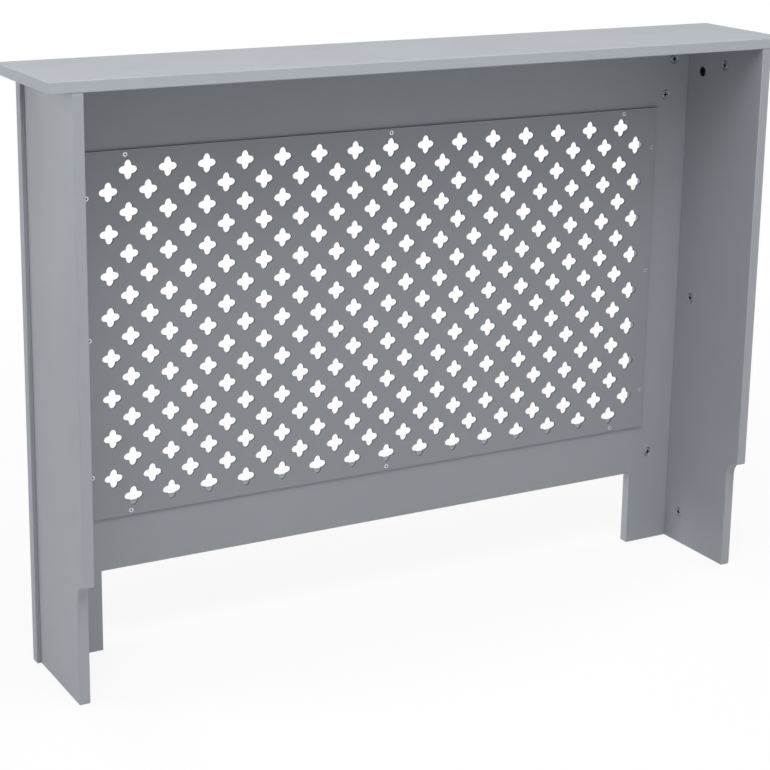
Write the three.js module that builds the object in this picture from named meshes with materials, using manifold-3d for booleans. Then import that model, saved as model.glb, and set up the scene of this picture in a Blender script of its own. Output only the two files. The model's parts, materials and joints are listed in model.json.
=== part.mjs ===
// Radiator cover cabinet: a flat-pack cover of painted board that stands over a radiator.
// Millimetres, +Z up. The front faces -Y, the wall side is +Y, left and right are as seen from the
// front, and the origin is at the bottom centre of the whole cover.
//
// Two stiles and two rails make the front frame, and the stiles reach the floor as its front legs.
// A thin pierced lattice sheet is screwed to the frame's back face. A side panel butts against the
// back of each stile, notched at the bottom to clear a skirting board, and the shelf lies on top.
// Every board joint is drawn together by a cam lock and its bolt, and dowels line the boards up.
import * as THREE from "three";
import { mergeVertices } from "three/addons/utils/BufferGeometryUtils.js";
import Module from "manifold-3d";

const wasm = await Module();
wasm.setup();

// ---- Overall sizes ----
const COVER_WIDTH = 1120; // shelf, end to end
const COVER_DEPTH = 190; // shelf, front edge to back edge
const COVER_HEIGHT = 815; // floor to the top of the shelf

// ---- Boards ----
const SHELF_THICKNESS = 15;
const FRAME_THICKNESS = 15; // stiles and rails
const SIDE_THICKNESS = 15;
const EDGE_EASE = 0.8; // chamfer along the edges of each board's two faces
const SHELF_END_OVERHANG = 24; // shelf past each stile
const SHELF_FRONT_OVERHANG = 5; // shelf past the frame's front face
const STILE_WIDTH = 95;
const SIDE_SET_IN = 5.5; // side panel in from the stile's outer edge
const TOP_RAIL_HEIGHT = 117;
const BOTTOM_RAIL_HEIGHT = 90;
const LEG_GAP = 116; // floor to the bottom rail
const NOTCH_DEPTH = 24; // skirting notch, in from the wall
const NOTCH_HEIGHT = 170;
const NOTCH_ROUND = 22; // radius in the notch's inner corner

// ---- Lattice sheet ----
const SHEET_THICKNESS = 3;
const SHEET_LAP_SIDE = 17.5; // sheet over each stile
const SHEET_LAP_TOP = 12.5; // sheet over the top rail
const SHEET_LAP_BOTTOM = 14.5; // sheet over the bottom rail
const HOLE_STEP = 28.1; // from one row or column of holes to the next
const HOLE_REACH = 13.3; // hole centre to the tip of a lobe
const HOLE_WAIST = 7.8; // hole centre to the corner between two lobes
const SHEET_RIM = 12; // least plain sheet between a hole and the sheet's edge

// ---- Cam locks and bolts ----
const CAM_BORE_RADIUS = 7.5;
const CAM_REACH = 34; // seam to the cam's centre
const CAM_FACE_SUNK = 0.3; // cam's face below the board's
const CAM_BELOW_BOLT = 4.7; // cam's body past the bolt's axis
const CROSS_ARM = 7.6; // tip to tip of the cross slot
const CROSS_WIDTH = 1.6;
const CROSS_DEPTH = 2.2;
const BOLT_BORE_RADIUS = 4;
const BOLT_SHANK_RADIUS = 3.5;
const BOLT_NECK_RADIUS = 2;
const BOLT_HEAD_HALF = 2.2; // bolt's head, either way from the cam's centre
const PILOT_RADIUS = 2.5; // hole for the bolt's thread
const THREAD_LENGTH = 10;

// ---- Dowels ----
const DOWEL_BORE_RADIUS = 4;
const DOWEL_IN_EDGE = 19; // dowel in a board's edge
const DOWEL_IN_FACE = 9.5; // dowel in a board's face

// ---- Sheet screws ----
const SCREW_LENGTH = 12;
const SCREW_RADIUS = 1.5;
const SCREW_HEAD_RADIUS = 3.2;
const SCREW_HEAD_DEPTH = 1.8;
const SCREW_SLOT = 3.4; // tip to tip of the cross slot
const SCREW_SLOT_WIDTH = 0.8;
const SCREW_SLOT_DEPTH = 1.2;

// ---- Places of the fittings ----
const SCREW_FROM_EDGE = 6.5; // screw in from the sheet's nearest edge
const SCREW_FROM_END = 61; // outer screws in from the ends of that edge
const RAIL_BOLT_RISE = 30; // bolt above a rail's lower edge
const RAIL_DOWEL_DROP = 30; // dowel below a rail's upper edge
const SIDE_BOLT_FROM_END = 50; // outer bolts in from the ends of a side panel
const SIDE_DOWEL_FROM_BACK = 40; // shelf dowel in from a side panel's back edge
const RAIL_DOWEL_FROM_END = 220; // shelf dowels in from the ends of the top rail

// ---- Clearances ----
const FIT_GAP = 0.3; // round fitting to its hole, all round
const HOLE_SPARE = 0.7; // hole deeper than what goes in it
const POCKET_GAP = 0.6; // bolt's head to the cam's pocket
const OVERCUT = 1; // cutting solid past the face that it opens

// ---- Facets of the round pieces ----
const CAM_SIDES = 16;
const BORE_SIDES = 12;
const SMALL_SIDES = 8;

// ---- Worked-out places ----
const wallY = COVER_DEPTH / 2;
const frameFrontY = -COVER_DEPTH / 2 + SHELF_FRONT_OVERHANG;
const frameBackY = frameFrontY + FRAME_THICKNESS;
const frameMiddleY = (frameFrontY + frameBackY) / 2;
const shelfUndersideZ = COVER_HEIGHT - SHELF_THICKNESS;
const stileOuterX = COVER_WIDTH / 2 - SHELF_END_OVERHANG;
const stileInnerX = stileOuterX - STILE_WIDTH;
const stileMiddleX = (stileOuterX + stileInnerX) / 2;
const sideOuterX = stileOuterX - SIDE_SET_IN;
const sideMiddleX = sideOuterX - SIDE_THICKNESS / 2;
const sideMiddleY = (frameBackY + wallY) / 2;
const topRailBottomZ = shelfUndersideZ - TOP_RAIL_HEIGHT;
const bottomRailTopZ = LEG_GAP + BOTTOM_RAIL_HEIGHT;
const sheetHalfWidth = stileInnerX + SHEET_LAP_SIDE;
const sheetTopZ = topRailBottomZ + SHEET_LAP_TOP;
const sheetBottomZ = bottomRailTopZ - SHEET_LAP_BOTTOM;
const sheetMiddleZ = (sheetTopZ + sheetBottomZ) / 2;
const sheetHalfHeight = (sheetTopZ - sheetBottomZ) / 2;
const sheetBackY = frameBackY + SHEET_THICKNESS;

const RIGHT = new THREE.Vector3(1, 0, 0);
const BACK = new THREE.Vector3(0, 1, 0);
const UP = new THREE.Vector3(0, 0, 1);
const LEFT = RIGHT.clone().negate();
const FRONT = BACK.clone().negate();
const DOWN = UP.clone().negate();
const point = (x, y, z) => new THREE.Vector3(x, y, z);

// ---- Materials ----
const paintedBoard = new THREE.MeshStandardMaterial({ color: 0xa3a7ad, roughness: 0.55, metalness: 0 });
const paintedSheet = new THREE.MeshStandardMaterial({ color: 0x9a9ea4, roughness: 0.6, metalness: 0 });
const zincAlloy = new THREE.MeshStandardMaterial({ color: 0x8b8d90, roughness: 0.4, metalness: 0.9 });
const platedSteel = new THREE.MeshStandardMaterial({ color: 0xa9abae, roughness: 0.35, metalness: 0.95 });
const beech = new THREE.MeshStandardMaterial({ color: 0xc9a877, roughness: 0.8, metalness: 0 });

// ---- Solids ----
// A closed three.js geometry as a solid that can be cut.
function solidOf(geometry) {
  const bare = geometry.clone();
  bare.deleteAttribute("normal");
  bare.deleteAttribute("uv");
  const merged = mergeVertices(bare, 1e-4);
  return new wasm.Manifold(
    new wasm.Mesh({
      numProp: 3,
      vertProperties: merged.getAttribute("position").array,
      triVerts: new Uint32Array(merged.index.array),
    }),
  );
}

// The body geometry with the tool geometries cut out of it.
function cutAway(body, tools) {
  let solid = solidOf(body);
  for (const tool of tools) solid = solid.subtract(solidOf(tool));
  const mesh = solid.getMesh();
  const geometry = new THREE.BufferGeometry();
  geometry.setAttribute("position", new THREE.BufferAttribute(mesh.vertProperties, 3));
  geometry.setIndex(new THREE.BufferAttribute(mesh.triVerts, 1));
  const faceted = geometry.toNonIndexed();
  faceted.computeVertexNormals();
  return faceted;
}

// A placement whose own Y axis points along `axis` and whose own Z axis points along `towards`.
function placement(at, axis, towards) {
  const across = new THREE.Vector3().crossVectors(axis, towards);
  return new THREE.Matrix4().makeBasis(across, axis, towards).setPosition(at);
}

// Any direction square to `axis`, for round pieces whose turn about their axis is free.
const squareTo = (axis) => (Math.abs(axis.z) > 0.5 ? RIGHT : UP);

// A cutting cylinder from `from` along `axis`, which starts OVERCUT before `from`.
function bore(from, axis, depth, radius, sides) {
  const length = depth + OVERCUT;
  const cylinder = new THREE.CylinderGeometry(radius, radius, length, sides);
  cylinder.translate(0, length / 2 - OVERCUT, 0);
  return cylinder.applyMatrix4(placement(from, axis, squareTo(axis)));
}

// A cutting block of the given sizes with its centre at (x, y, z).
const block = (width, height, depth, x, y, z) =>
  new THREE.BoxGeometry(width, height, depth).translate(x, y, z);

// A cutting cross of two blocks, sunk `depth` into a face at the height `faceY`.
function crossSlot(faceY, reach, width, depth) {
  const tall = depth + OVERCUT;
  const y = faceY - depth + tall / 2;
  return [block(reach, tall, width, 0, y, 0), block(width, tall, reach, 0, y, 0)];
}

// A turned piece: its profile is a list of [radius, height] from its foot to its head.
const turned = (profile, sides) =>
  new THREE.LatheGeometry(profile.map(([radius, height]) => new THREE.Vector2(radius, height)), sides);

// ---- The object ----
const cover = new THREE.Group();

function add(name, geometry, material, matrix) {
  const mesh = new THREE.Mesh(geometry, material);
  mesh.name = name;
  matrix.decompose(mesh.position, mesh.quaternion, mesh.scale);
  cover.add(mesh);
}

// ---- Boards, before they are drilled ----
const boards = new Map();

// A board whose outline lies in its own X-Y plane and which is `thickness` deep along its own Z.
// `across` and `along` are the directions of its own X and Y, and `at` is where its own origin is.
function makeBoard(name, outline, thickness, at, across, along) {
  const geometry = new THREE.ExtrudeGeometry(outline, {
    depth: thickness - 2 * EDGE_EASE,
    bevelEnabled: true,
    bevelThickness: EDGE_EASE,
    bevelSize: EDGE_EASE,
    bevelOffset: -EDGE_EASE,
    bevelSegments: 1,
    curveSegments: 4,
  }).translate(0, 0, EDGE_EASE);
  const through = new THREE.Vector3().crossVectors(across, along);
  const matrix = new THREE.Matrix4().makeBasis(across, along, through).setPosition(at);
  boards.set(name, { geometry, matrix, cuts: [] });
}

function rectangle(width, height) {
  const shape = new THREE.Shape();
  shape.moveTo(0, 0);
  shape.lineTo(width, 0);
  shape.lineTo(width, height);
  shape.lineTo(0, height);
  return shape;
}

// A side panel's outline, from the frame to the wall and from the floor up, with its notch.
function notchedPanel(depth, height) {
  const notchX = depth - NOTCH_DEPTH;
  const shape = new THREE.Shape();
  shape.moveTo(0, 0);
  shape.lineTo(notchX, 0);
  shape.lineTo(notchX, NOTCH_HEIGHT - NOTCH_ROUND);
  shape.absarc(notchX + NOTCH_ROUND, NOTCH_HEIGHT - NOTCH_ROUND, NOTCH_ROUND, Math.PI, Math.PI / 2, true);
  shape.lineTo(depth, NOTCH_HEIGHT);
  shape.lineTo(depth, height);
  shape.lineTo(0, height);
  return shape;
}

// A cut into a board, given in the cover's frame.
const drill = (name, tool) => boards.get(name).cuts.push(tool);

makeBoard(
  "top_shelf",
  rectangle(COVER_WIDTH, COVER_DEPTH),
  SHELF_THICKNESS,
  point(-COVER_WIDTH / 2, -COVER_DEPTH / 2, shelfUndersideZ),
  RIGHT,
  BACK,
);
for (const [name, bottomZ, height] of [
  ["top_rail", topRailBottomZ, TOP_RAIL_HEIGHT],
  ["bottom_rail", LEG_GAP, BOTTOM_RAIL_HEIGHT],
]) {
  const outline = rectangle(2 * stileInnerX, height);
  makeBoard(name, outline, FRAME_THICKNESS, point(-stileInnerX, frameBackY, bottomZ), RIGHT, UP);
}
for (const [hand, stileX, sideX] of [
  ["left", -stileOuterX, -sideOuterX],
  ["right", stileInnerX, sideOuterX - SIDE_THICKNESS],
]) {
  const stile = rectangle(STILE_WIDTH, shelfUndersideZ);
  makeBoard(`${hand}_stile`, stile, FRAME_THICKNESS, point(stileX, frameBackY, 0), RIGHT, UP);
  const side = notchedPanel(wallY - frameBackY, shelfUndersideZ);
  makeBoard(`${hand}_side_panel`, side, SIDE_THICKNESS, point(sideX, frameBackY, 0), BACK, UP);
}

// ---- Lattice sheet ----
// A hole with four lobes, as a star of four tips and four inner corners.
function latticeHole(x, y) {
  const corner = (step) => {
    const radius = step % 2 ? HOLE_WAIST : HOLE_REACH;
    const turn = (step * Math.PI) / 4;
    return [x + radius * Math.cos(turn), y + radius * Math.sin(turn)];
  };
  const hole = new THREE.Path();
  hole.moveTo(...corner(0));
  for (let step = 1; step < 8; step += 1) hole.lineTo(...corner(step));
  return hole;
}

// The sheet about its own centre. Holes fill every second place of a square grid, like the squares
// of one colour on a chessboard, as far out as the plain rim allows.
function latticeSheet() {
  const sheet = new THREE.Shape();
  sheet.moveTo(-sheetHalfWidth, -sheetHalfHeight);
  sheet.lineTo(sheetHalfWidth, -sheetHalfHeight);
  sheet.lineTo(sheetHalfWidth, sheetHalfHeight);
  sheet.lineTo(-sheetHalfWidth, sheetHalfHeight);
  const lastPlace = (half) => Math.floor((half - SHEET_RIM - HOLE_REACH) / HOLE_STEP);
  const lastColumn = lastPlace(sheetHalfWidth);
  const lastRow = lastPlace(sheetHalfHeight);
  for (let row = -lastRow; row <= lastRow; row += 1)
    for (let column = -lastColumn; column <= lastColumn; column += 1)
      if ((row + column) % 2 === 0) sheet.holes.push(latticeHole(column * HOLE_STEP, row * HOLE_STEP));
  return new THREE.ExtrudeGeometry(sheet, { depth: SHEET_THICKNESS, bevelEnabled: false });
}

const sheetMatrix = new THREE.Matrix4()
  .makeBasis(RIGHT, UP, FRONT)
  .setPosition(0, sheetBackY, sheetMiddleZ);
boards.set("lattice_panel", { geometry: latticeSheet(), matrix: sheetMatrix, cuts: [] });

// ---- Cam locks and bolts ----
// A cam's own Y axis points out of the board's face and its own Z axis points to the seam. Its
// origin is on the bolt's axis. A pocket, open towards the seam, takes the bolt's head.
function camGeometry(boardThickness) {
  const faceY = boardThickness / 2 - CAM_FACE_SUNK;
  const radius = CAM_BORE_RADIUS - FIT_GAP;
  const height = faceY + CAM_BELOW_BOLT;
  const disc = new THREE.CylinderGeometry(radius, radius, height, CAM_SIDES);
  disc.translate(0, faceY - height / 2, 0);
  const pocketHalf = BOLT_SHANK_RADIUS + POCKET_GAP;
  const pocketEnd = -(BOLT_HEAD_HALF + POCKET_GAP);
  const pocketLength = radius + OVERCUT - pocketEnd;
  const pocket = block(2 * pocketHalf, 2 * pocketHalf, pocketLength, 0, 0, pocketEnd + pocketLength / 2);
  return cutAway(disc, [pocket, ...crossSlot(faceY, CROSS_ARM, CROSS_WIDTH, CROSS_DEPTH)]);
}

// A bolt's own Y axis points from the seam, at its origin, to the cam.
function boltGeometry() {
  const thread = PILOT_RADIUS - FIT_GAP;
  const headFoot = CAM_REACH - BOLT_HEAD_HALF;
  const headTop = CAM_REACH + BOLT_HEAD_HALF;
  return turned(
    [
      [0, -THREAD_LENGTH],
      [thread, -THREAD_LENGTH + thread / 2],
      [thread, FIT_GAP],
      [BOLT_SHANK_RADIUS, FIT_GAP],
      [BOLT_SHANK_RADIUS, headFoot - 2 * BOLT_SHANK_RADIUS],
      [BOLT_NECK_RADIUS, headFoot - BOLT_SHANK_RADIUS],
      [BOLT_NECK_RADIUS, headFoot],
      [BOLT_SHANK_RADIUS, headFoot + (BOLT_SHANK_RADIUS - BOLT_NECK_RADIUS)],
      [BOLT_SHANK_RADIUS, headTop],
      [0, headTop],
    ],
    SMALL_SIDES,
  );
}

// Each joint has a name, the board that holds the cam, the board that the bolt is screwed into, the
// point on the seam between them, the way from the seam to the cam, and the way the cam looks.
const camJoints = [];
for (const [hand, sign, inward, outward] of [
  ["left", -1, RIGHT, LEFT],
  ["right", 1, LEFT, RIGHT],
]) {
  const stile = `${hand}_stile`;
  const side = `${hand}_side_panel`;
  const stileSeam = point(sign * stileMiddleX, frameMiddleY, shelfUndersideZ);
  camJoints.push([`${hand}_stile_to_shelf`, stile, "top_shelf", stileSeam, DOWN, BACK]);
  for (const [rail, bottomZ] of [
    ["top_rail", topRailBottomZ],
    ["bottom_rail", LEG_GAP],
  ]) {
    const seam = point(sign * stileInnerX, frameMiddleY, bottomZ + RAIL_BOLT_RISE);
    camJoints.push([`${hand}_stile_to_${rail}`, stile, rail, seam, outward, BACK]);
  }
  const sideSeam = point(sign * sideMiddleX, sideMiddleY, shelfUndersideZ);
  camJoints.push([`${hand}_side_to_shelf`, side, "top_shelf", sideSeam, DOWN, inward]);
  for (const [level, z] of [
    ["lower", SIDE_BOLT_FROM_END],
    ["middle", shelfUndersideZ / 2],
    ["upper", shelfUndersideZ - SIDE_BOLT_FROM_END],
  ]) {
    const seam = point(sign * sideMiddleX, frameBackY, z);
    camJoints.push([`${hand}_side_to_stile_${level}`, side, stile, seam, BACK, inward]);
  }
}

const bolt = boltGeometry();
for (const [name, holder, partner, seam, toCam, face] of camJoints) {
  const thickness = holder.endsWith("stile") ? FRAME_THICKNESS : SIDE_THICKNESS;
  const toSeam = toCam.clone().negate();
  const camCentre = seam.clone().addScaledVector(toCam, CAM_REACH);
  const camMouth = camCentre.clone().addScaledVector(face, thickness / 2);
  const camBoreDepth = thickness / 2 + CAM_BELOW_BOLT + HOLE_SPARE;
  drill(holder, bore(camMouth, face.clone().negate(), camBoreDepth, CAM_BORE_RADIUS, CAM_SIDES));
  drill(holder, bore(seam, toCam, CAM_REACH, BOLT_BORE_RADIUS, BORE_SIDES));
  drill(partner, bore(seam, toSeam, THREAD_LENGTH + HOLE_SPARE, PILOT_RADIUS, SMALL_SIDES));
  add(`cam_lock_${name}`, camGeometry(thickness), zincAlloy, placement(camCentre, face, toSeam));
  add(`bolt_${name}`, bolt, platedSteel, placement(seam, toCam, squareTo(toCam)));
}

// ---- Dowels ----
// A dowel's own Y axis points from the seam, at its origin, into the first board's edge.
function dowelGeometry(inFirst, inSecond) {
  const radius = DOWEL_BORE_RADIUS - FIT_GAP;
  const taper = radius / 3;
  return turned(
    [
      [0, -inSecond],
      [radius - taper, -inSecond],
      [radius, -inSecond + taper],
      [radius, inFirst - taper],
      [radius - taper, inFirst],
      [0, inFirst],
    ],
    SMALL_SIDES,
  );
}

// Each dowel has a name, the board whose edge it enters, its depth there, the other board, its
// depth there, the point on the seam, and the way from the seam into the first board.
const dowels = [];
for (const [hand, sign, outward] of [
  ["left", -1, LEFT],
  ["right", 1, RIGHT],
]) {
  const inward = outward.clone().negate();
  const stile = `${hand}_stile`;
  const side = `${hand}_side_panel`;
  for (const [rail, topZ] of [
    ["top_rail", shelfUndersideZ],
    ["bottom_rail", bottomRailTopZ],
  ]) {
    const seam = point(sign * stileInnerX, frameMiddleY, topZ - RAIL_DOWEL_DROP);
    dowels.push([`${hand}_${rail}`, rail, DOWEL_IN_EDGE, stile, DOWEL_IN_EDGE, seam, inward]);
  }
  const middleZ = shelfUndersideZ / 2;
  const halfSpan = middleZ - SIDE_BOLT_FROM_END;
  for (const [level, z] of [
    ["lower", middleZ - halfSpan / 2],
    ["upper", middleZ + halfSpan / 2],
  ]) {
    const seam = point(sign * sideMiddleX, frameBackY, z);
    dowels.push([`${hand}_side_${level}`, side, DOWEL_IN_EDGE, stile, DOWEL_IN_FACE, seam, BACK]);
  }
  const sideSeam = point(sign * sideMiddleX, wallY - SIDE_DOWEL_FROM_BACK, shelfUndersideZ);
  dowels.push([`${hand}_side_shelf`, side, DOWEL_IN_EDGE, "top_shelf", DOWEL_IN_FACE, sideSeam, DOWN]);
  const railSeam = point(sign * (stileInnerX - RAIL_DOWEL_FROM_END), frameMiddleY, shelfUndersideZ);
  dowels.push([`${hand}_rail_shelf`, "top_rail", DOWEL_IN_EDGE, "top_shelf", DOWEL_IN_FACE, railSeam, DOWN]);
}

for (const [name, first, inFirst, second, inSecond, seam, into] of dowels) {
  const back = into.clone().negate();
  drill(first, bore(seam, into, inFirst + HOLE_SPARE, DOWEL_BORE_RADIUS, BORE_SIDES));
  drill(second, bore(seam, back, inSecond + HOLE_SPARE, DOWEL_BORE_RADIUS, BORE_SIDES));
  add(`dowel_${name}`, dowelGeometry(inFirst, inSecond), beech, placement(seam, into, squareTo(into)));
}

// ---- Sheet screws ----
// A screw's own Y axis points out of its head, and its origin is at the middle of the head's face.
function screwGeometry() {
  const body = turned(
    [
      [0, -SCREW_LENGTH],
      [SCREW_RADIUS, -SCREW_LENGTH + 2 * SCREW_RADIUS],
      [SCREW_RADIUS, -SCREW_HEAD_DEPTH],
      [SCREW_HEAD_RADIUS, 0],
      [0, 0],
    ],
    SMALL_SIDES,
  );
  return cutAway(body, crossSlot(0, SCREW_SLOT, SCREW_SLOT_WIDTH, SCREW_SLOT_DEPTH));
}

// The countersunk hole that a screw needs in the sheet, with the fit gap all round it.
function countersink() {
  const shank = SCREW_RADIUS + FIT_GAP;
  const head = SCREW_HEAD_RADIUS + FIT_GAP;
  return turned(
    [
      [0, -SHEET_THICKNESS - OVERCUT],
      [shank, -SHEET_THICKNESS - OVERCUT],
      [shank, -SCREW_HEAD_DEPTH],
      [head, 0],
      [head, OVERCUT],
      [0, OVERCUT],
    ],
    SMALL_SIDES,
  );
}

// Each screw has a name, the board behind the sheet, and its place on the sheet.
const screws = [];
const endScrewX = sheetHalfWidth - SCREW_FROM_END;
const endScrewRise = sheetHalfHeight - SCREW_FROM_END;
for (const [number, x] of [-endScrewX, 0, endScrewX].entries()) {
  screws.push([`top_${number + 1}`, "top_rail", x, sheetTopZ - SCREW_FROM_EDGE]);
  screws.push([`bottom_${number + 1}`, "bottom_rail", x, sheetBottomZ + SCREW_FROM_EDGE]);
}
for (const [number, rise] of [-endScrewRise, 0, endScrewRise].entries()) {
  const x = sheetHalfWidth - SCREW_FROM_EDGE;
  screws.push([`left_${number + 1}`, "left_stile", -x, sheetMiddleZ + rise]);
  screws.push([`right_${number + 1}`, "right_stile", x, sheetMiddleZ + rise]);
}

const screw = screwGeometry();
const screwPilotDepth = SCREW_LENGTH - SHEET_THICKNESS + HOLE_SPARE;
for (const [name, backing, x, z] of screws) {
  const head = placement(point(x, sheetBackY, z), BACK, UP);
  drill("lattice_panel", countersink().applyMatrix4(head));
  const pilotMouth = point(x, frameBackY, z);
  drill(backing, bore(pilotMouth, FRONT, screwPilotDepth, SCREW_RADIUS + FIT_GAP, SMALL_SIDES));
  add(`screw_${name}`, screw, platedSteel, head);
}

// ---- The drilled boards ----
for (const [name, { geometry, matrix, cuts }] of boards) {
  const toBoard = matrix.clone().invert();
  const tools = cuts.map((tool) => tool.clone().applyMatrix4(toBoard));
  const material = name === "lattice_panel" ? paintedSheet : paintedBoard;
  add(name, cutAway(geometry, tools), material, matrix);
}

export default cover;
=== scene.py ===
import json
import math

import bpy
import numpy as np
from mathutils import Matrix, Vector
from mathutils.geometry import delaunay_2d_cdt


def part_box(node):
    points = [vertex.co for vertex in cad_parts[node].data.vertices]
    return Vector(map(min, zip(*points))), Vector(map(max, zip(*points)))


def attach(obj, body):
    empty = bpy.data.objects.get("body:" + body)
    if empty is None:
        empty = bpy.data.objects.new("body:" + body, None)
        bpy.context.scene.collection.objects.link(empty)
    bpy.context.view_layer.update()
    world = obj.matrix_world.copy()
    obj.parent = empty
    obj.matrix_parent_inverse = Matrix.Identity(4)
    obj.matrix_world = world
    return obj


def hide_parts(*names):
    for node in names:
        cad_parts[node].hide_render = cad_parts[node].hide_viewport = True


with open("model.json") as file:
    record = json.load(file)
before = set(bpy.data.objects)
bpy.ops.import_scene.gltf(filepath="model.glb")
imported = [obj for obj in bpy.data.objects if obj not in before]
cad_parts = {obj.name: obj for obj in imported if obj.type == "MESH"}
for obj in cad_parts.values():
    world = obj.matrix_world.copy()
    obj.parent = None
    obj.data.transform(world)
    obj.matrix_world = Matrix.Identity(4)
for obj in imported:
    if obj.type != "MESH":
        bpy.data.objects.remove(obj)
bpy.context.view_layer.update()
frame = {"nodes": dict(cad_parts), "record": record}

MM = 0.001

# ---- Boards ----
SHELF_ROUND = 1.2 * MM  # rounding along the edges of a board's two faces
SIDE_ROUND = 1.4 * MM
FRAME_ROUND = 0.2 * MM
CORNER_ROUND = 0.5 * MM  # a corner seen from the face is this much rounder than its edges
ROUND_STEPS = 4
NOTCH_DEPTH = 24 * MM
NOTCH_HEIGHT = 170 * MM
NOTCH_ROUND = 22 * MM
NOTCH_CORNER = 2  # the notch's inner corner among a side panel's corners

# ---- Lattice sheet ----
SHEET_ROUND = 0.35 * MM
HOLE_STEP = 28.1 * MM  # from one row or column of holes to the next
LOBE_TIP = 13.3 * MM  # hole centre to the tip of a lobe
LOBE_WAIST = 5.5 * MM  # half a lobe's width where it meets the next
LOBE_STEPS = 6
SHEET_RIM = 12 * MM  # least plain sheet between a hole and the sheet's edge

# ---- Cam locks ----
CAM_SUNK = 0.3 * MM  # cam's face below the board's
CAM_EASE = 0.25 * MM
CAM_RIM = 1.3 * MM  # width of the raised rim
CAM_BEVEL = 0.75 * MM  # outer edge of the rim, which gets painted shade
CAM_GROOVE = 0.6 * MM  # depth of the groove inside the rim
CAM_BOSS = 4.7 * MM  # radius of the middle, which holds the cross
RIM_LEAN = 0.1 * MM  # the groove is narrower at its foot by this on its outer side
BOSS_LEAN = 0.2 * MM  # and by this on its inner side
CAM_CROSS_REACH = 3.8 * MM
CAM_CROSS_HALF = 0.95 * MM
CAM_CROSS_DEPTH = 2.4 * MM
CAM_GAP = 0.3 * MM  # cam to its bore, all round
CAM_SPARE = 0.7 * MM  # bore deeper than the cam
# one cam whose zinc is made nearly black
NEARLY_BLACK_CAM = "left_side_to_stile_upper"

# ---- Bolts ----
THREAD_LENGTH = 10 * MM
CAM_REACH = 34 * MM  # seam between the boards to the cam's centre
SHANK_RADIUS = 3.5 * MM
SHANK_EASE = 0.3 * MM
NECK_RADIUS = 2 * MM
HEAD_HALF = 2.2 * MM
HEAD_EASE = 0.4 * MM
BOLT_CORE = 1.65 * MM
BOLT_CREST = 2.2 * MM
BOLT_PITCH = 2.2 * MM
BOLT_TIP = 0.4  # radius of the tip's end, as a share of the core's
BOLT_TAPER = 0.6  # length of the tip, as a share of the core's radius
BOLT_POINT = 1.2 * MM  # plain end ahead of the thread
THREAD_PAST_SEAM = 0.2 * MM
BOLT_BORE = 4 * MM
PILOT_BORE = 2.5 * MM
HOLE_SPARE = 0.7 * MM

# ---- Dowels ----
DOWEL_RADIUS = 3.7 * MM
DOWEL_FLUTES = 18
FLUTE_DEPTH = 0.25 * MM
DOWEL_EASE = 1.2 * MM
DOWEL_END = ((0.7, 0.0), (0.35, 0.3), (0.0, 1.0))  # radius taken off and way in, as shares of the ease
DOWEL_BORE = 4 * MM

# ---- Sheet screws ----
SCREW_HEAD_RADIUS = 3.2 * MM
SCREW_HEAD_DEPTH = 1.8 * MM
HEAD_RIM_FOOT = 0.25 * MM  # the rim's foot lies this far under the head's face
HEAD_RIM_CREST = 0.12 * MM  # and its widest ring this far
HEAD_RIM_UNDER = 0.1 * MM  # the rim is narrower by this at its foot
HEAD_RIM_OVER = 0.15 * MM  # and by this at the face
SCREW_NECK = 0.1 * MM  # plain stretch between the head's cone and the shaft, and again to the thread
SCREW_CORE = 1.05 * MM
SCREW_CREST = 1.5 * MM
SCREW_PITCH = 1.3 * MM
SCREW_TIP = 0.15 * MM
SCREW_POINT = 1.5 * MM  # plain end ahead of the thread
SCREW_CROSS_REACH = 1.9 * MM
SCREW_CROSS_HALF = 0.55 * MM
SCREW_CROSS_DEPTH = 1.2 * MM
SCREW_BORE = 1.8 * MM  # hole through the sheet and into the board behind it
SCREW_SINK = 3.5 * MM  # countersink at the sheet's face

# ---- Cross recesses ----
RECESS_MOUTH = 1.06  # outline at the mouth, against the one under its lip
RECESS_LIP = 0.12  # the lip's share of the depth
RECESS_FLOOR = 0.7  # outline at the floor

# ---- Facets and cuts ----
ROUND_SIDES = 48
BORE_SIDES = 40
THREAD_SIDES = 24
SIDES_PER_FLUTE = 6
ROWS_PER_TURN = 8
ARM_STEPS = 4  # round end of a cross's arm
OVERCUT = 1 * MM  # cutting shape past the face that it opens
FLAT = 0.99995  # a face whose normal has more than this along an axis is flat
FACE_ON = 0.9  # and one with more than this along the board's own is no cut edge
SAME_POINT = 1e-9  # points nearer than this count as one
WHOLE_HULL = 0  # the triangles fill everything inside the outermost points

# ---- Finishes ----
# Tones are shares of the record's base colour. A pair holds the two ends that a noise moves between.
BASE = {finish["slot"]: finish["base_color"] for finish in frame["record"]["materials"]}
SHELF_EDGE_LIGHT = 1.5  # paler coat on the shelf's edges, against its faces, which is partly painted light
BOARD_EDGE_LIGHT = 1.3  # paler coat on the other boards' edges, which is partly painted light
SHEET_EDGE_SHADE = 0.35  # dark coat on the lattice sheet's edges and in its holes, which is partly painted shade
EDGE_SHARE = 0.8  # how much of a cut edge takes the edge tone and its painted light
PAINT_TONES = (0.975, 1.02)
PAINT_FLECK = 0.93
PAINT_FLECK_SHARE = 0.35
PAINT_ROUGH = (0.55, 0.63)
PAINT_EDGE_ROUGH = 0.2  # cut edges are this much rougher
PAINT_GLOSS = (0.5, 0.05)  # on faces and on cut edges
FIBRE_STRENGTH = 0.1
FIBRE_EDGE_STRENGTH = 0.35  # this much more on cut edges
ZINC_TONES = (1.4, 2.1)
ZINC_ROUGH = (0.34, 0.5)
ZINC_METAL = 0.9
NEARLY_BLACK_TONE = 0.05  # a nearly black cam's share of the zinc's tone
STEEL_TONES = (1.7, 2.1)
STEEL_ROUGH = (0.45, 0.6)
STEEL_METAL = 0.95
BEECH_TONES = (0.78, 1.06)
BEECH_ROUGH = (0.65, 0.8)
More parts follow.
